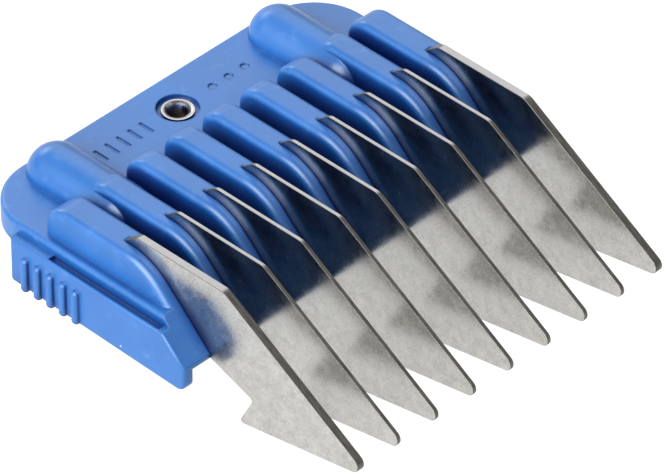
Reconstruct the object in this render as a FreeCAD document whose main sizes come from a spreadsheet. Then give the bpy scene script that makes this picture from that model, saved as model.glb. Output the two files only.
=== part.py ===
"""Clip-on clipper guard comb: a moulded body holding nine steel tooth plates, with a sprung latch slide
under its deck. Millimetres. X runs across the teeth, the tips point to -Y, +Z is up. The origin is under the
middle of the comb, level with the lowest points of the tooth hooks."""
import FreeCAD, Part
import math
import os
import Sketcher
from FreeCAD import Placement, Rotation, Vector

os.makedirs("parts", exist_ok=True)
doc = FreeCAD.newDocument("guard_comb")
sheet = doc.addObject("Spreadsheet::Sheet", "dims")
size = {}


def dimension(name, value):
    """Keeps one driving dimension under its own name in the sheet and in this script."""
    size[name] = value
    cell = "A%d" % len(size)
    sheet.set(cell, "%.6f" % value)
    sheet.setAlias(cell, name)
    return value


# Tooth plates
tooth_count = 9
tooth_pitch = dimension("tooth_pitch", 6.0)
dimension("inner_thickness", 0.5)
dimension("outer_thickness", 1.0)
dimension("steel_top", 17.05)
dimension("bend_y", -8.3)
dimension("tip_y", -30.69)
dimension("tip_z", 3.53)
dimension("hook_y", -10.5)
dimension("hook_z", -0.124)
dimension("notch_y", -12.75)
dimension("notch_z", 4.15)
dimension("tang_root_y", -4.6)
dimension("tang_root_z", 7.7)
dimension("tang_low_y", 3.6)
dimension("tang_low_z", 10.6)
dimension("tang_rear_y", 12.8)
dimension("tang_top_z", 14.6)
dimension("tang_top_y", 8.5)
dimension("shoulder_y", 5.3)
dimension("key_hole_z", 12.7)
dimension("key_hole_radius", 1.0)
key_hole_ys = (dimension("key_hole_front_y", 5.4), dimension("key_hole_rear_y", 10.2))

# Body: deck, floor and front edge
dimension("deck_top", 11.5)
dimension("deck_under", 8.5)
dimension("deck_core", 10.0)
dimension("deck_half", 27.3)
dimension("deck_rear", 28.9)
dimension("deck_corner", 7.7)
deck_edge_radius = dimension("deck_edge_radius", 0.55)
dimension("front_y", -6.1)
dimension("front_z", 6.5)
dimension("ramp_end_y", -0.8)
dimension("floor_front_z", 7.7)
dimension("floor_rise_y", 4.7)

# Brow: flat rib top, then an arc, then one slope that the ribs, blocks and sides all share
rib_top = dimension("rib_top", 15.6)
rib_crest_y = dimension("rib_crest_y", 6.0)
brow_radius = dimension("brow_radius", 8.0)
brow_slope = 0.96
brow_turn = math.atan(brow_slope)
dimension("brow_low_y", rib_crest_y - brow_radius * math.sin(brow_turn))
dimension("brow_low_z", rib_top - brow_radius * (1 - math.cos(brow_turn)))
dimension("lip_z", size["brow_low_z"] - brow_slope * (size["brow_low_y"] - size["front_y"]))


def on_slope(z):
    """Y of the brow's slope at one height."""
    return size["front_y"] + (z - size["lip_z"]) / brow_slope


dimension("floor_front_y", on_slope(size["floor_front_z"]))

# Ribs
dimension("rib_rear", 18.4)
dimension("rib_nose", 3.0)
dimension("rib_nose_y", size["rib_rear"] - size["rib_nose"])
dimension("rib_nose_z", rib_top - size["rib_nose"])
dimension("inner_rib_width", 3.6)
dimension("outer_rib_width", 4.3)
rib_edge_radius = dimension("rib_edge_radius", 0.9)

# Side skirts, ledges and front blocks
dimension("body_half", 28.65)
dimension("skirt_front_z", 3.7)
dimension("skirt_rear_z", 4.3)
ledge_top = dimension("ledge_top", 10.35)
dimension("skirt_rear_y", 21.45)
dimension("skirt_wall", 1.4)
dimension("ledge_inner", 26.0)
dimension("block_top_y", on_slope(size["deck_top"]))
dimension("block_rear_y", 6.0)
dimension("block_inner", 24.0)
dimension("block_overlap", 28.0)
dimension("channel_outer", 28.2)
dimension("channel_front_y", -1.9)
dimension("channel_rear_y", 15.6)
dimension("channel_depth", 0.5)
dimension("ledge_front_y", on_slope(ledge_top))
dimension("shelf_front_y", on_slope(size["deck_under"]))
grip_count = 5
dimension("grip_pitch", 2.02)
dimension("grip_first_y", 10.35)
dimension("grip_width", 0.95)
dimension("grip_proud", 0.6)
dimension("grip_under", 4.1)
dimension("grip_height", 4.7)
dimension("rail_inner", 25.1)
dimension("rail_depth", 2.5)
dimension("rail_width", 1.5)
dimension("rail_under", 5.0)
dimension("rail_height", 4.0)
rail_ys = (dimension("rail_front_y", 1.5), dimension("rail_rear_y", 13.2))

# Spring ridges and the tunnels inside them
ridge_x = dimension("ridge_x", 17.7)
dimension("ridge_radius", 3.6)
dimension("ridge_front_y", 14.4)
dimension("ridge_rear_y", 24.9)
dimension("tunnel_radius", 2.75)
dimension("tunnel_front_y", 12.9)
dimension("tunnel_rear_y", 26.6)
dimension("spring_radius", 1.6)
dimension("spring_wire", 0.25)
dimension("spring_z", 12.15)
spring_turns = 8.5

# Latch slide
dimension("slide_under", 8.6)
dimension("slide_thickness", 1.4)
dimension("slide_gap", 0.1)
slide_travel = dimension("slide_travel", 2.0)
dimension("bar_half", 20.2)
dimension("bar_front_y", 16.4)
dimension("bar_rear_y", 20.0)
dimension("arm_half", 2.5)
dimension("arm_front_y", 13.1)
dimension("post_half", 2.0)
dimension("post_depth", 1.4)
dimension("post_height", 4.6)
dimension("tongue_half", 13.0)
dimension("tongue_rear_y", 25.85)
dimension("hook_half", 10.0)
dimension("hook_depth", 1.8)
dimension("hook_under", 4.6)
dimension("hook_nose", 0.9)
dimension("hook_nose_height", 1.0)
dimension("pad_inner", 5.5)
dimension("pad_width", 7.0)
dimension("pad_front_y", 20.6)
dimension("pad_depth", 4.8)
dimension("pad_thickness", 1.0)
pad_bar_count = 4
dimension("pad_bar_pitch", 1.3)
dimension("pad_bar_width", 0.6)
dimension("pad_bar_height", 0.5)
dimension("recess_side_gap", 0.25)
dimension("recess_end_gap", 0.15)

# Rivet and washer
dimension("rivet_y", 23.6)
dimension("shank_radius", 1.5)
dimension("cup_radius", 1.2)
dimension("cup_floor_z", 9.6)
dimension("rim_radius", 1.95)
dimension("rim_top", 11.25)
dimension("rim_seat", 10.95)
dimension("head_radius", 2.8)
dimension("head_under", 7.25)
dimension("head_top", 8.05)
dimension("washer_radius", 3.2)
dimension("washer_thickness", 0.4)
dimension("rivet_gap", 0.08)
dimension("counterbore_radius", 2.55)

# Generic engraved marks on the deck
mark_depth = dimension("mark_depth", 0.15)
dimension("bar_mark_width", 0.4)
dimension("bar_mark_length", 2.2)
dimension("bar_mark_first_x", -12.4)
dimension("bar_mark_pitch", 1.8)
bar_mark_count = 5
dimension("dot_mark_radius", 0.55)
dimension("dot_mark_first_x", 5.6)
dimension("dot_mark_pitch", 2.6)
dot_mark_count = 3
doc.recompute()

SIDE_VIEW = Rotation(Vector(1, 1, 1), 120)
ALONG_Y = Rotation(Vector(1, 0, 0), -90)
SIDES = (("left", -1), ("right", 1))


def bind(item, **places):
    """Binds properties of a document object to expressions of the sheet; a__b stands for a.b."""
    for name, expression in places.items():
        item.setExpression(name.replace("__", "."), expression)
    return item


def outline(sketch, corners, arcs=None):
    """Closed outline through corners, each a pair of dimension names; arcs maps the number of the corner that
    a clockwise or anticlockwise arc leaves to (a point half way along it, the name of its radius)."""
    arcs = arcs or {}
    points = [Vector(size[a], size[b], 0) for a, b in corners]
    ends = []
    for i, start in enumerate(points):
        stop = points[(i + 1) % len(points)]
        if i in arcs:
            curve = Part.Arc(start, Vector(*arcs[i][0], 0), stop)
            number = sketch.addGeometry(curve, False)
            arc = sketch.Geometry[number]
            forward = arc.StartPoint.distanceToPoint(start) < arc.EndPoint.distanceToPoint(start)
            ends.append((number, 1 if forward else 2, 2 if forward else 1))
        else:
            number = sketch.addGeometry(Part.LineSegment(start, stop), False)
            ends.append((number, 1, 2))
    for i, (number, first, last) in enumerate(ends):
        after, after_first, _ = ends[(i + 1) % len(ends)]
        sketch.addConstraint(Sketcher.Constraint("Coincident", number, last, after, after_first))
        for axis, name, value in (("X", corners[i][0], points[i].x), ("Y", corners[i][1], points[i].y)):
            rule = Sketcher.Constraint("Distance" + axis, -1, 1, number, first, value)
            row = sketch.addConstraint(rule)
            sketch.setExpression("Constraints[%d]" % row, "dims." + name)
        if i in arcs:
            row = sketch.addConstraint(Sketcher.Constraint("Radius", number, size[arcs[i][1]]))
            sketch.setExpression("Constraints[%d]" % row, "dims." + arcs[i][1])


def side_slab(name, corners, x_from, width, arcs=None):
    """Solid with an outline in the side view, from x_from across the given width along +X."""
    sketch = doc.addObject("Sketcher::SketchObject", name + "_outline")
    sketch.Placement = Placement(Vector(0, 0, 0), SIDE_VIEW)
    outline(sketch, corners, arcs)
    bind(sketch, Placement__Base__x=x_from)
    slab = doc.addObject("Part::Extrusion", name)
    slab.Base = sketch
    slab.DirMode = "Normal"
    slab.Solid = True
    return bind(slab, LengthFwd=width)


def box(name, x, y, z, length, width, height):
    """Box from its lowest corner and its sizes along X, Y and Z, all expressions of the sheet."""
    item = doc.addObject("Part::Box", name)
    return bind(item, Placement__Base__x=x, Placement__Base__y=y, Placement__Base__z=z,
                Length=length, Width=width, Height=height)


def cylinder(name, x, y, z, radius, height, rotation=None):
    """Cylinder from the middle of its first end; it stands up unless a rotation is given."""
    item = doc.addObject("Part::Cylinder", name)
    item.Placement.Rotation = rotation or Rotation()
    return bind(item, Placement__Base__x=x, Placement__Base__y=y, Placement__Base__z=z,
                Radius=radius, Height=height)


def fuse(name, items):
    item = doc.addObject("Part::MultiFuse", name)
    item.Shapes = items
    item.Refine = True
    return item


def cut(name, base, tool):
    item = doc.addObject("Part::Cut", name)
    item.Base = base
    item.Tool = tool
    item.Refine = True
    return item


def rounded(name, base, radius, wanted):
    """Rounds those edges of base for which wanted(edge) is true."""
    doc.recompute()
    item = doc.addObject("Part::Fillet", name)
    item.Base = base
    numbers = [i for i, edge in enumerate(base.Shape.Edges, 1) if wanted(edge)]
    item.Edges = [(i, radius, radius) for i in numbers]
    doc.recompute()
    return item


def middle(edge):
    return edge.valueAt((edge.FirstParameter + edge.LastParameter) / 2)


def runs_along(edge, axis):
    line = edge.Vertexes[-1].Point - edge.Vertexes[0].Point
    return line.Length > 0 and abs(line.dot(axis)) > 0.999 * line.Length


# ---------------------------------------------------------------- tooth plates
def tooth(number):
    """One stamped plate: hooked comb tooth with a tang that the body is moulded round."""
    outer = number in (1, tooth_count)
    body = doc.addObject("PartDesign::Body", "tooth_%d" % number)
    body.Label = "tooth_%d" % number
    plane = next(f for f in body.Origin.OriginFeatures if f.Role == "YZ_Plane")
    sketch = body.newObject("Sketcher::SketchObject", "plate_outline_%d" % number)
    sketch.AttachmentSupport = [(plane, "")]
    sketch.MapMode = "FlatFace"
    outline(sketch, [
        ("shoulder_y", "steel_top"), ("bend_y", "steel_top"), ("tip_y", "tip_z"), ("hook_y", "hook_z"),
        ("notch_y", "notch_z"), ("front_y", "front_z"), ("tang_root_y", "tang_root_z"),
        ("tang_low_y", "tang_low_z"), ("tang_rear_y", "tang_low_z"), ("tang_rear_y", "tang_top_z"),
        ("tang_top_y", "tang_top_z"),
    ])
    for y, name in zip(key_hole_ys, ("key_hole_front_y", "key_hole_rear_y")):
        centre = Vector(y, size["key_hole_z"], 0)
        hole = sketch.addGeometry(Part.Circle(centre, Vector(0, 0, 1), size["key_hole_radius"]), False)
        for rule, expression in (
            (Sketcher.Constraint("DistanceX", -1, 1, hole, 3, y), name),
            (Sketcher.Constraint("DistanceY", -1, 1, hole, 3, size["key_hole_z"]), "key_hole_z"),
            (Sketcher.Constraint("Radius", hole, size["key_hole_radius"]), "key_hole_radius"),
        ):
            row = sketch.addConstraint(rule)
            sketch.setExpression("Constraints[%d]" % row, "dims." + expression)
    pad = body.newObject("PartDesign::Pad", "plate_%d" % number)
    pad.Profile = sketch
    pad.Midplane = True
    pad.setExpression("Length", "dims.outer_thickness" if outer else "dims.inner_thickness")
    body.Tip = pad
    doc.recompute()
    rounds = (("shoulder_y", "steel_top", 1.5), ("bend_y", "steel_top", 2.0), ("tip_y", "tip_z", 1.0),
              ("hook_y", "hook_z", 0.35), ("notch_y", "notch_z", 0.5))
    for y, z, radius in rounds:
        corner = Vector(0, size[y], size[z])
        names = [
            "Edge%d" % i for i, edge in enumerate(body.Shape.Edges, 1)
            if runs_along(edge, Vector(1, 0, 0)) and (middle(edge) - corner).Length < 0.01
        ]
        blank = body.Tip
        rounding = body.newObject("PartDesign::Fillet", "round_%s_%d" % (y, number))
        rounding.Base = (blank, names)
        rounding.Radius = radius
        body.Tip = rounding
        doc.recompute()
    body.setExpression("Placement.Base.x", "dims.tooth_pitch * %d" % (number - (tooth_count + 1) // 2))
    return body


teeth = [tooth(i) for i in range(1, tooth_count + 1)]


# ---------------------------------------------------------------- comb body
def rib(number):
    """Tall rib over one tooth: bull-nosed behind, with the brow's arc and slope in front."""
    name = "rib_%d" % number
    kind = "outer" if number in (1, tooth_count) else "inner"
    centre = "dims.tooth_pitch * %d" % (number - (tooth_count + 1) // 2)
    bevel = math.sqrt(0.5)
    nose_mid = (size["rib_nose_y"] + size["rib_nose"] * bevel, size["rib_nose_z"] + size["rib_nose"] * bevel)
    brow_mid = (rib_crest_y - brow_radius * math.sin(brow_turn / 2),
                rib_top - brow_radius * (1 - math.cos(brow_turn / 2)))
    block = side_slab(name, [
        ("rib_rear", "deck_core"), ("rib_rear", "rib_nose_z"), ("rib_nose_y", "rib_top"),
        ("rib_crest_y", "rib_top"), ("brow_low_y", "brow_low_z"), ("front_y", "lip_z"), ("front_y", "front_z"),
        ("ramp_end_y", "deck_under"), ("floor_rise_y", "deck_core"),
    ], centre + " - dims.%s_rib_width / 2" % kind, "dims.%s_rib_width" % kind,
        {1: (nose_mid, "rib_nose"), 3: (brow_mid, "brow_radius")})

    def shows(edge):
        point = middle(edge)
        sideways = runs_along(edge, Vector(1, 0, 0))
        behind = point.y > rib_crest_y and point.z > size["deck_core"] + 0.1
        before = point.y > size["front_y"] + 0.1 and on_slope(point.z) > point.y - 1.5
        return not sideways and (behind or before and point.z > size["lip_z"] + 0.5)

    return rounded(name + "_rounded", block, rib_edge_radius, shows)


def ridge(side, sign):
    """Half-round housing of one spring, domed at both ends."""
    x = "dims.ridge_x * %d" % sign
    length = "dims.ridge_rear_y - dims.ridge_front_y"
    barrel = cylinder("ridge_barrel_" + side, x, "dims.ridge_front_y", "dims.deck_top",
                      "dims.ridge_radius", length, ALONG_Y)
    pieces = [barrel]
    for end in ("front", "rear"):
        dome = doc.addObject("Part::Sphere", "ridge_%s_dome_%s" % (end, side))
        bind(dome, Placement__Base__x=x, Placement__Base__y="dims.ridge_%s_y" % end,
             Placement__Base__z="dims.deck_top", Radius="dims.ridge_radius")
        pieces.append(dome)
    upper = doc.addObject("Part::Common", "ridge_" + side)
    upper.Base = fuse("ridge_capsule_" + side, pieces)
    upper.Tool = box("ridge_room_" + side, x + " - 5", "5", "dims.deck_core", "10", "30", "10")
    return upper


def mirrored_slab(name, corners, inner, outer, sign):
    x_from = "dims.%s" % inner if sign > 0 else "-dims.%s" % outer
    return side_slab(name, corners, x_from, "dims.%s - dims.%s" % (outer, inner))


deck = side_slab("deck_raw", [
    ("front_y", "front_z"), ("front_y", "lip_z"), ("floor_front_y", "floor_front_z"), ("floor_rise_y", "deck_top"),
    ("deck_rear", "deck_top"), ("deck_rear", "deck_under"), ("ramp_end_y", "deck_under"),
], "-dims.deck_half", "2 * dims.deck_half")
deck = rounded("deck_corners", deck, size["deck_corner"], lambda e: (
    runs_along(e, Vector(0, 0, 1)) and middle(e).y > size["deck_rear"] - 0.01))
deck = rounded("deck_rounded", deck, deck_edge_radius, lambda e: (
    middle(e).z > size["deck_top"] - 0.01 and not runs_along(e, Vector(1, 0, 0))
    or (middle(e).z > size["deck_top"] - 0.01 and middle(e).y > size["deck_rear"] - 0.01)))
body_pieces = [deck] + [rib(i) for i in range(1, tooth_count + 1)]

for side, sign in SIDES:
    body_pieces.append(ridge(side, sign))
    block_high = mirrored_slab("block_high_" + side, [
        ("front_y", "front_z"), ("front_y", "lip_z"), ("block_top_y", "deck_top"), ("block_rear_y", "deck_top"),
        ("block_rear_y", "deck_under"), ("ramp_end_y", "deck_under"),
    ], "block_inner", "deck_half", sign)
    body_pieces.append(rounded("block_high_rounded_" + side, block_high, deck_edge_radius, lambda e: (
        runs_along(e, Vector(0, 1, 0)) and middle(e).z > size["deck_top"] - 0.01
        and abs(middle(e).x) > size["deck_half"] - 0.01)))
    body_pieces.append(mirrored_slab("block_low_" + side, [
        ("front_y", "front_z"), ("front_y", "lip_z"), ("ledge_front_y", "ledge_top"), ("block_rear_y", "ledge_top"),
        ("block_rear_y", "deck_under"), ("ramp_end_y", "deck_under"),
    ], "block_inner", "block_overlap", sign))
    skirt_x = "dims.body_half - dims.skirt_wall" if sign > 0 else "-dims.body_half"
    skirt = side_slab("skirt_" + side, [
        ("front_y", "skirt_front_z"), ("front_y", "lip_z"), ("ledge_front_y", "ledge_top"),
        ("skirt_rear_y", "ledge_top"), ("skirt_rear_y", "skirt_rear_z"),
    ], skirt_x, "dims.skirt_wall")
    shelf = mirrored_slab("shelf_" + side, [
        ("shelf_front_y", "deck_under"), ("ledge_front_y", "ledge_top"),
        ("skirt_rear_y", "ledge_top"), ("skirt_rear_y", "deck_under"),
    ], "ledge_inner", "body_half", sign)
    wall = fuse("side_" + side, [skirt, shelf])
    wall = rounded("side_toe_" + side, wall, 1.2, lambda e: (
        runs_along(e, Vector(1, 0, 0)) and middle(e).z < size["skirt_front_z"] + 0.01))
    wall = rounded("side_heel_" + side, wall, 0.5, lambda e: (
        runs_along(e, Vector(1, 0, 0)) and abs(middle(e).z - size["skirt_rear_z"]) < 0.01
        and middle(e).y > size["skirt_rear_y"] - 0.01))
    outer_face = size["body_half"] - 0.01
    body_pieces.append(rounded("side_rounded_" + side, wall, 0.4, lambda e: (
        abs(middle(e).x) > outer_face and middle(e).z > size["skirt_rear_z"] + 0.05)))
    grip_face = size["body_half"] + size["grip_proud"] - 0.01
    for i in range(grip_count):
        x = "dims.body_half - 1" if sign > 0 else "-dims.body_half - dims.grip_proud"
        bar = box("grip_%s_%d" % (side, i + 1), x, "dims.grip_first_y + %d * dims.grip_pitch" % i,
                  "dims.grip_under", "dims.grip_proud + 1", "dims.grip_width", "dims.grip_height")
        bar = rounded("grip_%s_%d_ends" % (side, i + 1), bar, 0.55, lambda e: (
            abs(middle(e).x) > grip_face and runs_along(e, Vector(0, 1, 0))))
        body_pieces.append(rounded("grip_%s_%d_rounded" % (side, i + 1), bar, 0.4, lambda e: (
            abs(middle(e).x) > grip_face and runs_along(e, Vector(0, 0, 1)))))
    for i, y in enumerate(("rail_front_y", "rail_rear_y")):
        x = "dims.rail_inner" if sign > 0 else "-dims.rail_inner - dims.rail_depth"
        body_pieces.append(box("rail_%s_%d" % (side, i + 1), x, "dims." + y, "dims.rail_under",
                               "dims.rail_depth", "dims.rail_width", "dims.rail_height"))

body_cuts = [
    cylinder("rivet_hole", "0", "dims.rivet_y", "dims.deck_under", "dims.shank_radius + 0.05", "10"),
    cylinder("counterbore", "0", "dims.rivet_y", "dims.rim_seat", "dims.counterbore_radius", "5"),
    box("bar_recess", "-dims.bar_half - dims.recess_side_gap", "dims.bar_front_y - dims.recess_end_gap",
        "dims.deck_under - 1", "2 * (dims.bar_half + dims.recess_side_gap)",
        "dims.bar_rear_y - dims.bar_front_y + dims.slide_travel + 2 * dims.recess_end_gap",
        "dims.slide_under + dims.slide_thickness + dims.slide_gap - dims.deck_under + 1"),
    box("tongue_recess", "-dims.tongue_half - dims.recess_side_gap", "dims.bar_front_y",
        "dims.deck_under - 1", "2 * (dims.tongue_half + dims.recess_side_gap)",
        "dims.tongue_rear_y - dims.bar_front_y + dims.slide_travel + dims.recess_end_gap",
        "dims.slide_under + dims.slide_thickness + dims.slide_gap - dims.deck_under + 1"),
]
for side, sign in SIDES:
    channel_x = "dims.deck_half" if sign > 0 else "-dims.channel_outer"
    body_cuts.append(box("channel_" + side, channel_x, "dims.channel_front_y",
                         "dims.ledge_top - dims.channel_depth", "dims.channel_outer - dims.deck_half",
                         "dims.channel_rear_y - dims.channel_front_y", "2"))
    x = "dims.ridge_x * %d" % sign
    length = "dims.tunnel_rear_y - dims.tunnel_front_y"
    body_cuts.append(cylinder("tunnel_" + side, x, "dims.tunnel_front_y", "dims.deck_top",
                              "dims.tunnel_radius", length, ALONG_Y))
    body_cuts.append(box("tunnel_mouth_" + side, x + " - dims.tunnel_radius", "dims.tunnel_front_y",
                         "dims.deck_under - 1", "2 * dims.tunnel_radius", length,
                         "dims.deck_top - dims.deck_under + 1"))
for i in range(bar_mark_count):
    body_cuts.append(box("bar_mark_%d" % (i + 1), "dims.bar_mark_first_x + %d * dims.bar_mark_pitch" % i,
                         "dims.rivet_y - dims.bar_mark_length / 2", "dims.deck_top - dims.mark_depth",
                         "dims.bar_mark_width", "dims.bar_mark_length", "1"))
for i in range(dot_mark_count):
    body_cuts.append(cylinder("dot_mark_%d" % (i + 1), "dims.dot_mark_first_x + %d * dims.dot_mark_pitch" % i,
                              "dims.rivet_y", "dims.deck_top - dims.mark_depth", "dims.dot_mark_radius", "1"))
tooth_slots = doc.addObject("Part::Compound", "tooth_slots")
tooth_slots.Links = teeth
solid_body = fuse("moulding", body_pieces)
relieved_body = cut("relieved_moulding", solid_body, fuse("body_cuts", body_cuts))
comb_body = cut("comb_body", relieved_body, tooth_slots)

# ---------------------------------------------------------------- latch slide
slide_z = "dims.slide_under"
slide_pieces = [
    box("slide_bar", "-dims.bar_half", "dims.bar_front_y", slide_z, "2 * dims.bar_half",
        "dims.bar_rear_y - dims.bar_front_y", "dims.slide_thickness"),
    box("slide_tongue", "-dims.tongue_half", "dims.bar_front_y", slide_z, "2 * dims.tongue_half",
        "dims.tongue_rear_y - dims.bar_front_y", "dims.slide_thickness"),
    box("slide_hook", "-dims.hook_half", "dims.bar_front_y", "dims.hook_under", "2 * dims.hook_half",
        "dims.hook_depth", "dims.slide_under - dims.hook_under + 1"),
    box("slide_hook_nose", "-dims.hook_half", "dims.bar_front_y - dims.hook_nose", "dims.hook_under",
        "2 * dims.hook_half", "dims.hook_nose + 1", "dims.hook_nose_height"),
]
for side, sign in SIDES:
    centre = "dims.ridge_x * %d" % sign
    slide_pieces.append(box("slide_arm_" + side, centre + " - dims.arm_half", "dims.arm_front_y", slide_z,
                            "2 * dims.arm_half", "dims.bar_rear_y - dims.arm_front_y", "dims.slide_thickness"))
    slide_pieces.append(box("slide_post_" + side, centre + " - dims.post_half", "dims.arm_front_y", slide_z,
                            "2 * dims.post_half", "dims.post_depth", "dims.post_height"))
    pad_x = "dims.pad_inner" if sign > 0 else "-dims.pad_inner - dims.pad_width"
    slide_pieces.append(box("slide_pad_" + side, pad_x, "dims.pad_front_y", slide_z + " - dims.pad_thickness",
                            "dims.pad_width", "dims.pad_depth", "dims.pad_thickness + 0.5"))
    for i in range(pad_bar_count):
        y = "dims.pad_front_y + 0.2 + %d * dims.pad_bar_pitch" % i
        z = slide_z + " - dims.pad_thickness - dims.pad_bar_height"
        slide_pieces.append(box("slide_pad_bar_%s_%d" % (side, i + 1), pad_x, y, z, "dims.pad_width",
                                "dims.pad_bar_width", "dims.pad_bar_height + 0.5"))
slot_radius = "dims.shank_radius + dims.rivet_gap"
slot_cuts = [
    cylinder("slot_rear", "0", "dims.rivet_y", "5", slot_radius, "10"),
    cylinder("slot_front", "0", "dims.rivet_y - dims.slide_travel", "5", slot_radius, "10"),
    box("slot_middle", "-(%s)" % slot_radius, "dims.rivet_y - dims.slide_travel", "5",
        "2 * (%s)" % slot_radius, "dims.slide_travel", "10"),
]
latch_slide = cut("latch_slide", fuse("slide_blank", slide_pieces), fuse("slide_slot", slot_cuts))

# ---------------------------------------------------------------- rivet, washer and springs
rivet = doc.addObject("PartDesign::Body", "rivet")
rivet_plane = next(f for f in rivet.Origin.OriginFeatures if f.Role == "XZ_Plane")
rivet_axis = next(f for f in rivet.Origin.OriginFeatures if f.Role == "Z_Axis")
rivet_sketch = rivet.newObject("Sketcher::SketchObject", "rivet_outline")
rivet_sketch.AttachmentSupport = [(rivet_plane, "")]
rivet_sketch.MapMode = "FlatFace"
dimension("on_axis", 0.0)
dimension("rim_mouth", 1.55)
doc.recompute()
outline(rivet_sketch, [
    ("on_axis", "head_under"), ("head_radius", "head_under"), ("head_radius", "head_top"),
    ("shank_radius", "head_top"), ("shank_radius", "rim_seat"), ("rim_radius", "rim_seat"),
    ("rim_radius", "rim_top"), ("rim_mouth", "rim_top"), ("cup_radius", "rim_seat"),
    ("cup_radius", "cup_floor_z"), ("on_axis", "cup_floor_z"),
])
rivet_turn = rivet.newObject("PartDesign::Revolution", "rivet_turned")
rivet_turn.Profile = rivet_sketch
rivet_turn.ReferenceAxis = (rivet_axis, [""])
rivet_turn.Angle = 360
rivet.Tip = rivet_turn
rivet.setExpression("Placement.Base.y", "dims.rivet_y")

washer = cut("washer",
             cylinder("washer_disc", "0", "dims.rivet_y", "dims.head_top", "dims.washer_radius",
                      "dims.washer_thickness"),
             cylinder("washer_hole", "0", "dims.rivet_y", "dims.head_top - 1", "dims.shank_radius + 0.05", "3"))


def spring(side, sign):
    """Compression spring between the slide's post and the rear end of its tunnel."""
    coil = doc.addObject("Part::Helix", "coil_" + side)
    free = "dims.tunnel_rear_y - dims.arm_front_y - dims.post_depth - 2 * dims.spring_wire - 0.02"
    bind(coil, Radius="dims.spring_radius", Height=free, Pitch="(%s) / %.3f" % (free, spring_turns))
    wire = doc.addObject("Part::Circle", "wire_" + side)
    wire.Placement.Rotation = Rotation(Vector(1, 0, 0), 90)
    bind(wire, Radius="dims.spring_wire", Placement__Base__x="dims.spring_radius")
    swept = doc.addObject("Part::Sweep", "spring_" + side)
    swept.Sections = [wire]
    swept.Spine = (coil, [])
    swept.Solid = True
    swept.Frenet = True
    swept.Placement.Rotation = ALONG_Y
    bind(swept, Placement__Base__x="dims.ridge_x * %d" % sign, Placement__Base__z="dims.spring_z",
         Placement__Base__y="dims.arm_front_y + dims.post_depth + dims.spring_wire + 0.01")
    return swept


springs = [spring(side, sign) for side, sign in SIDES]

# ---------------------------------------------------------------- checks and files
doc.recompute()
for item in doc.Objects:
    if any(word in item.State for word in ("Invalid", "Error")):
        raise RuntimeError("%s failed: %s" % (item.Name, item.State))
nodes = [comb_body, latch_slide, rivet, washer] + springs + teeth
for node in nodes:
    shape = node.Shape
    if shape.isNull() or not shape.isValid():
        raise RuntimeError(node.Label + " has no valid shape")
    print(node.Label, len(shape.Solids), "solid(s)", round(shape.Volume, 2), "mm3")
    shape.exportStep("parts/%s.step" % node.Label)
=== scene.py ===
"""Studio scene of the clipper guard comb: the CAD frame in moulded plastic and stamped steel."""

import math

import bmesh
import bpy
from mathutils import Matrix, Vector


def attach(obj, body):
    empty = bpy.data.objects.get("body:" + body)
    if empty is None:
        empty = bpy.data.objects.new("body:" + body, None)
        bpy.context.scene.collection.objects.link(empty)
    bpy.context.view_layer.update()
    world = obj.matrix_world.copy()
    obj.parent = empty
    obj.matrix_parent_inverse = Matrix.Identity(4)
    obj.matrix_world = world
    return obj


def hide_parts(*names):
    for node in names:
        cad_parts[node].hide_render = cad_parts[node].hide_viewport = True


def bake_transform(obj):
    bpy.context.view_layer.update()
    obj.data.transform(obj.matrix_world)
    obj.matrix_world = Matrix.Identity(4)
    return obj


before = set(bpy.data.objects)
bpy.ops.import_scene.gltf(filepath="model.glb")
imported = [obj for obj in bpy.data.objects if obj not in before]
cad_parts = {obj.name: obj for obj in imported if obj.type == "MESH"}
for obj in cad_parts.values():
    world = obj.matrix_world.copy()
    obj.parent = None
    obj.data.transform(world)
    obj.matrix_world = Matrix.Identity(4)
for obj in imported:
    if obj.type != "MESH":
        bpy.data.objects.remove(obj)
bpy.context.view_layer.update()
scene = bpy.context.scene
MM = 0.001
TEETH = ["tooth_%d" % i for i in range(1, 10)]

# Colours that the materials mix in
FLOW_HAZE = (0.22, 0.38, 0.66, 1)
# Painted glint: pale colour of the sparse bright specks on the plastic
PAINTED_GLINT = (0.75, 0.82, 0.95, 1)
# Painted shade: dark navy for the corners and slots of the plastic
PAINTED_CREVICE_SHADE = (0.006, 0.024, 0.13, 1)
BURR_DARK = (0.045, 0.044, 0.042, 1)
# Painted shade and painted reflection of the blue plastic, laid on the steel near the plastic
PAINTED_PLASTIC_SHADE = (0.07, 0.095, 0.21, 1)
CUP_GRIME = (0.16, 0.12, 0.08, 1)

# The comb leans on its tooth hooks and on the rear corners of its skirts, which stand this much
# higher and further back than the hooks, in millimetres
HOOK_Y = -10.6 * MM
SKIRT_CORNER_RISE = 4.28
SKIRT_CORNER_RUN = 32.1
FLOOR_HALF = 1.5

# Lamps: name, place, diameter in metres, power in watts; all aim at the middle of the comb
AIM = (0, 0, 0.008)
LAMPS = (
    ("key", (-0.73, -0.06, 0.55), 1.0, 14.8),
    ("back", (0.45, 0.6, 0.6), 0.8, 2.0),
    ("rim", (0.1, 0.8, 0.45), 0.4, 1.2),
)

# Long lens, 8529.25 pixels of a 668 pixel wide picture, and where the camera stands and points
SENSOR = 36.0
LENS = 8529.25 * SENSOR / 668.0
CAMERA_PLACE = (-530.886 * MM, -522.399 * MM, 611.274 * MM)
CAMERA_RIGHT = (0.700142692, -0.714002628, -0.000677228)
CAMERA_DOWN = (-0.450672358, -0.441188009, -0.776046112)
CAMERA_AHEAD = (0.553800178, 0.543648222, -0.630675807)


# ---------------------------------------------------------------- materials
def shade(tone, amount):
    """The same tone, lighter or darker."""
    return [min(1, amount * c) for c in tone[:3]] + [1]


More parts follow.
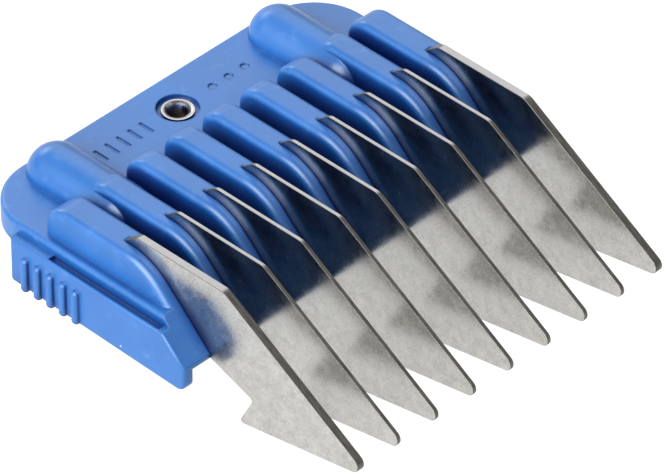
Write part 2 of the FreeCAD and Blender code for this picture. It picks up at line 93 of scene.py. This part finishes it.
class Nodes:
    """Short way to write a material's node tree."""

    def __init__(self, name):
        self.material = bpy.data.materials.new(name)
        self.material.use_nodes = True
        self.tree = self.material.node_tree
        self.surface = self.tree.nodes["Principled BSDF"]

    def add(self, kind, **inputs):
        node = self.tree.nodes.new(kind)
        self.set(node, **inputs)
        return node

    def feed(self, socket, value):
        if isinstance(value, bpy.types.NodeSocket):
            self.tree.links.new(value, socket)
        else:
            socket.default_value = value

    def set(self, node, **inputs):
        for name, value in inputs.items():
            self.feed(node.inputs[name.replace("_", " ")], value)

    def place(self, scale=(1, 1, 1)):
        """Object coordinates in millimetres, stretched by scale."""
        where = self.add("ShaderNodeTexCoord")
        mapping = self.add("ShaderNodeMapping", Vector=where.outputs["Object"])
        mapping.inputs["Scale"].default_value = [1000 * s for s in scale]
        return mapping.outputs["Vector"]

    def noise(self, vector, scale, detail=3.0, roughness=0.55, distortion=0.0):
        node = self.add("ShaderNodeTexNoise", Vector=vector, Scale=scale, Detail=detail,
                        Roughness=roughness, Distortion=distortion)
        return node.outputs["Fac"]

    def ramp(self, fac, low, high, out_low=0.0, out_high=1.0):
        node = self.add("ShaderNodeMapRange", Value=fac)
        node.interpolation_type = "SMOOTHSTEP"
        self.set(node, From_Min=low, From_Max=high, To_Min=out_low, To_Max=out_high)
        return node.outputs["Result"]

    def maths(self, operation, a, b=0.0):
        node = self.add("ShaderNodeMath")
        node.operation = operation
        for socket, value in zip(node.inputs, (a, b)):
            self.feed(socket, value)
        return node.outputs[0]

    def mix(self, fac, a, b):
        node = self.add("ShaderNodeMix")
        node.data_type = "RGBA"
        for socket, value in ((node.inputs[0], fac), (node.inputs[6], a), (node.inputs[7], b)):
            self.feed(socket, value)
        return node.outputs[2]

    def facing(self, axis):
        """How squarely the real surface faces along an axis of the object, 0 to 1."""
        normal = self.add("ShaderNodeNewGeometry").outputs["True Normal"]
        split = self.add("ShaderNodeSeparateXYZ", Vector=normal)
        return self.maths("ABSOLUTE", split.outputs[axis])

    def openness(self, reach):
        """How open the place is, from 0 in a deep corner to 1 on an outer face."""
        node = self.add("ShaderNodeAmbientOcclusion", Distance=reach)
        node.samples = 12
        return node.outputs["AO"]

    def height(self):
        """Height in the object, millimetres."""
        return self.add("ShaderNodeSeparateXYZ", Vector=self.place()).outputs["Z"]

    def bump(self, height, strength, distance, base=None):
        node = self.add("ShaderNodeBump", Strength=strength, Distance=distance, Height=height)
        if base is not None:
            self.tree.links.new(base, node.inputs["Normal"])
        return node.outputs["Normal"]

    def rounded(self, radius):
        """Normal that rolls over every sharp edge with a small radius, as on a moulding."""
        return self.add("ShaderNodeBevel", Radius=radius).outputs["Normal"]


def plastic(name, deep, light, roughness, edge_radius):
    """Glossy moulded plastic: slight flow marks, faint ripple, painted glint specks, worn-dull patches
    and painted navy shade in crevices.
    """
    n = Nodes(name)
    broad = n.noise(n.place(), 0.12, 2.0)
    cloud = n.noise(n.place(), 0.6, 4.0)
    scratch = n.noise(n.place((0.4, 5.0, 0.4)), 0.9, 5.0, 0.7)
    # Painted glints: sparse pale specks mixed into the colour, and also raised a little by the bump
    glint_cells = n.add("ShaderNodeTexVoronoi", Vector=n.place(), Scale=0.42)
    chance = n.add("ShaderNodeSeparateColor", Color=glint_cells.outputs["Color"]).outputs[0]
    glint_speck = n.maths("MULTIPLY", n.ramp(glint_cells.outputs["Distance"], 0.03, 0.075, 1.0, 0.0),
                  n.ramp(chance, 0.975, 0.98))
    colour = n.mix(n.ramp(broad, 0.3, 0.7), deep, light)
    colour = n.mix(n.ramp(cloud, 0.55, 0.8, 0.0, 0.12), colour, FLOW_HAZE)
    colour = n.mix(n.maths("MULTIPLY", glint_speck, 0.55), colour, PAINTED_GLINT)
    # Painted shade: the plastic darkens to navy where the ambient occlusion finds the place closed in
    colour = n.mix(n.ramp(n.openness(4 * MM), 0.2, 0.8), PAINTED_CREVICE_SHADE, colour)
    rough = n.maths("ADD", n.ramp(scratch, 0.55, 0.8, 0.0, 0.1),
                    n.ramp(broad, 0.3, 0.7, roughness, roughness + 0.05))
    ripple = n.bump(n.noise(n.place(), 0.35, 1.0), 0.12, 0.12 * MM, n.rounded(edge_radius))
    normal = n.bump(glint_speck, 0.35, 0.03 * MM, ripple)
    n.set(n.surface, Base_Color=colour, Roughness=rough, Normal=normal, IOR=1.5,
          Specular_IOR_Level=0.85)
    return n.material


def steel(name, tone, edge_tone, roughness, cup=False):
    """Tumbled stamped steel: mottled faces, smooth top edges, rough darker sheared slopes.
    The steel takes a painted navy shade and painted reflection of the blue plastic where it stands
    close to the plastic, and a rivet's cup gets grimy."""
    n = Nodes(name)
    cloud = n.noise(n.place(), 0.75, 6.0, 0.7, 0.3)
    patch = n.noise(n.place(), 0.2, 3.0)
    fine = n.noise(n.place(), 4.5, 4.0, 0.75)
    streak = n.noise(n.place((3.0, 0.5, 0.5)), 1.1, 4.0, 0.65)
    across = n.facing("X")
    face = n.ramp(across, 0.85, 0.97)
    burr = n.maths("MULTIPLY", n.ramp(across, 0.1, 0.3), n.ramp(across, 0.93, 0.98, 1.0, 0.0))
    level = n.ramp(n.facing("Z"), 0.93, 0.99)
    colour = n.mix(n.ramp(cloud, 0.3, 0.7), shade(tone, 0.74), tone)
    colour = n.mix(n.ramp(patch, 0.5, 0.75, 0.0, 0.5), colour,
                   [0.76 * tone[0], 0.74 * tone[1], 0.69 * tone[2], 1])
    colour = n.mix(n.ramp(fine, 0.4, 0.68, 0.0, 0.5), colour, shade(tone, 1.3))
    sheared = n.mix(n.ramp(streak, 0.3, 0.7), shade(edge_tone, 0.6), edge_tone)
    sheared = n.mix(level, sheared, [0.6 * tone[0], 0.6 * tone[1], 0.63 * tone[2], 1])
    colour = n.mix(face, sheared, colour)
    colour = n.mix(n.maths("MULTIPLY", burr, 0.75), colour, BURR_DARK)
    # Painted shade and painted reflection: the steel turns navy where the ambient occlusion finds
    # plastic close by, but not low on the teeth
    low_down = n.ramp(n.height(), 3.5, 6.0, 1.0, 0.0)
    clear = n.maths("MAXIMUM", n.ramp(n.openness(3 * MM), 0.48, 0.96), low_down)
    colour = n.mix(clear, PAINTED_PLASTIC_SHADE, colour)
    rough = n.maths("ADD", n.ramp(cloud, 0.25, 0.75, roughness - 0.03, roughness + 0.07),
                    n.ramp(fine, 0.3, 0.7, 0.0, 0.05))
    off_face = n.ramp(face, 0.0, 1.0, 1.0, 0.0)
    edge_rough = n.ramp(level, 0.0, 1.0, 0.3, 0.1)
    rough = n.maths("ADD", rough, n.maths("MULTIPLY", off_face, edge_rough))
    if cup:
        below_rim = n.ramp(n.height(), 9.6, 11.0, 1.0, 0.0)
        above_floor = n.ramp(n.height(), 9.3, 9.5)
        depth = n.maths("MULTIPLY", below_rim, above_floor)
        colour = n.mix(n.maths("MULTIPLY", depth, 0.85), colour, CUP_GRIME)
        rough = n.maths("ADD", rough, n.maths("MULTIPLY", depth, 0.2))
    normal = n.bump(fine, 0.05, 0.03 * MM)
    n.set(n.surface, Base_Color=colour, Metallic=1.0, Roughness=rough, Normal=normal)
    return n.material


BLUE = plastic("blue_plastic", (0.011, 0.100, 0.31, 1), (0.015, 0.116, 0.35, 1), 0.33, 0.3 * MM)
SLIDE_BLUE = plastic("slide_plastic", (0.008, 0.084, 0.26, 1), (0.011, 0.096, 0.29, 1), 0.25,
                     0.12 * MM)
STEEL = steel("tooth_steel", (0.535, 0.528, 0.505, 1), (0.24, 0.23, 0.215, 1), 0.165)
RIVET_STEEL = steel("rivet_steel", (0.66, 0.65, 0.61, 1), (0.6, 0.59, 0.55, 1), 0.14, True)
SPRING_STEEL = steel("spring_steel", (0.5, 0.5, 0.5, 1), (0.5, 0.5, 0.5, 1), 0.28)


# ---------------------------------------------------------------- skins over the CAD nodes
def skin(node, material, angle=32.0, bevel=0.0, flat_sides=False):
    """Welded, smooth-shaded copy of a CAD node that stands for it.
    Edges sharper than angle stay sharp; flat_sides joins coplanar triangles before the bevel."""
    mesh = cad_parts[node].data.copy()
    mesh.materials.clear()
    mesh.materials.append(material)
    work = bmesh.new()
    work.from_mesh(mesh)
    bmesh.ops.remove_doubles(work, verts=work.verts, dist=0.002 * MM)
    if flat_sides:
        bmesh.ops.dissolve_limit(work, angle_limit=math.radians(1.0), verts=work.verts,
                                 edges=work.edges)
    for face in work.faces:
        face.smooth = True
        face.material_index = 0
    for edge in work.edges:
        edge.smooth = edge.is_manifold and edge.calc_face_angle(0) < math.radians(angle)
    work.to_mesh(mesh)
    work.free()
    obj = bpy.data.objects.new(node + "_skin", mesh)
    scene.collection.objects.link(obj)
    if bevel:
        edges = obj.modifiers.new("edges", "BEVEL")
        edges.width = bevel
        edges.segments = 2
        edges.limit_method = "ANGLE"
        edges.angle_limit = math.radians(40)
    weights = obj.modifiers.new("weights", "WEIGHTED_NORMAL")
    weights.keep_sharp = True
    weights.weight = 80
    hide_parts(node)
    return obj


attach(skin("comb_body", BLUE), "comb")
slide = skin("latch_slide", SLIDE_BLUE, bevel=0.12 * MM, flat_sides=True)
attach(slide, "latch")
for tooth in TEETH:
    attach(skin(tooth, STEEL, bevel=0.07 * MM, flat_sides=True), "comb")
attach(skin("rivet", RIVET_STEEL, angle=50), "comb")
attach(skin("washer", RIVET_STEEL, bevel=0.06 * MM), "comb")
# A spring's front end goes with the slide and its rear end stays in the comb; here each spring is only
# baked in place and joins neither body
for side in ("left", "right"):
    spring = skin("spring_" + side, SPRING_STEEL, angle=60)
    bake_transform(spring)


# ---------------------------------------------------------------- studio
def studio():
    """Pale floor that gives its own light, an even white world and three large soft lamps."""
    n = Nodes("floor")
    pale = n.mix(n.noise(n.place(), 0.01, 2.0), (0.11, 0.11, 0.11, 1), (0.12, 0.12, 0.12, 1))
    n.set(n.surface, Base_Color=pale, Roughness=0.7, Specular_IOR_Level=0.1,
          Emission_Color=(1, 1, 1, 1), Emission_Strength=0.85)
    tilt = math.atan2(SKIRT_CORNER_RISE, SKIRT_CORNER_RUN)
    mesh = bpy.data.meshes.new("floor")
    corners = [(x * FLOOR_HALF, y * FLOOR_HALF, 0) for x, y in ((-1, -1), (1, -1), (1, 1), (-1, 1))]
    mesh.from_pydata(corners, [], [(0, 1, 2, 3)])
    mesh.materials.append(n.material)
    floor = bpy.data.objects.new("floor", mesh)
    floor.matrix_world = Matrix.Translation((0, HOOK_Y, 0)) @ Matrix.Rotation(tilt, 4, "X")
    scene.collection.objects.link(floor)
    world = bpy.data.worlds.new("studio")
    world.use_nodes = True
    background = world.node_tree.nodes["Background"]
    background.inputs["Color"].default_value = (1, 1, 1, 1)
    background.inputs["Strength"].default_value = 0.45
    scene.world = world
    for name, place, size, power in LAMPS:
        data = bpy.data.lights.new(name, "AREA")
        data.shape = "DISK"
        data.size = size
        data.energy = power
        lamp = bpy.data.objects.new(name, data)
        lamp.location = place
        lamp.rotation_euler = (Vector(AIM) - Vector(place)).to_track_quat("-Z", "Y").to_euler()
        scene.collection.objects.link(lamp)


def camera():
    """Long lens at the photograph's angle."""
    data = bpy.data.cameras.new("camera")
    data.sensor_width = SENSOR
    data.lens = LENS
    data.clip_start = 0.01
    data.clip_end = 10.0
    view = bpy.data.objects.new("camera", data)
    axes = (Vector(CAMERA_RIGHT), -Vector(CAMERA_DOWN), -Vector(CAMERA_AHEAD))
    turn = Matrix(axes).transposed().to_4x4()
    view.matrix_world = Matrix.Translation(Vector(CAMERA_PLACE)) @ turn
    scene.collection.objects.link(view)
    scene.camera = view


studio()
camera()
scene.view_settings.view_transform = "Standard"
scene.view_settings.look = "Medium High Contrast"
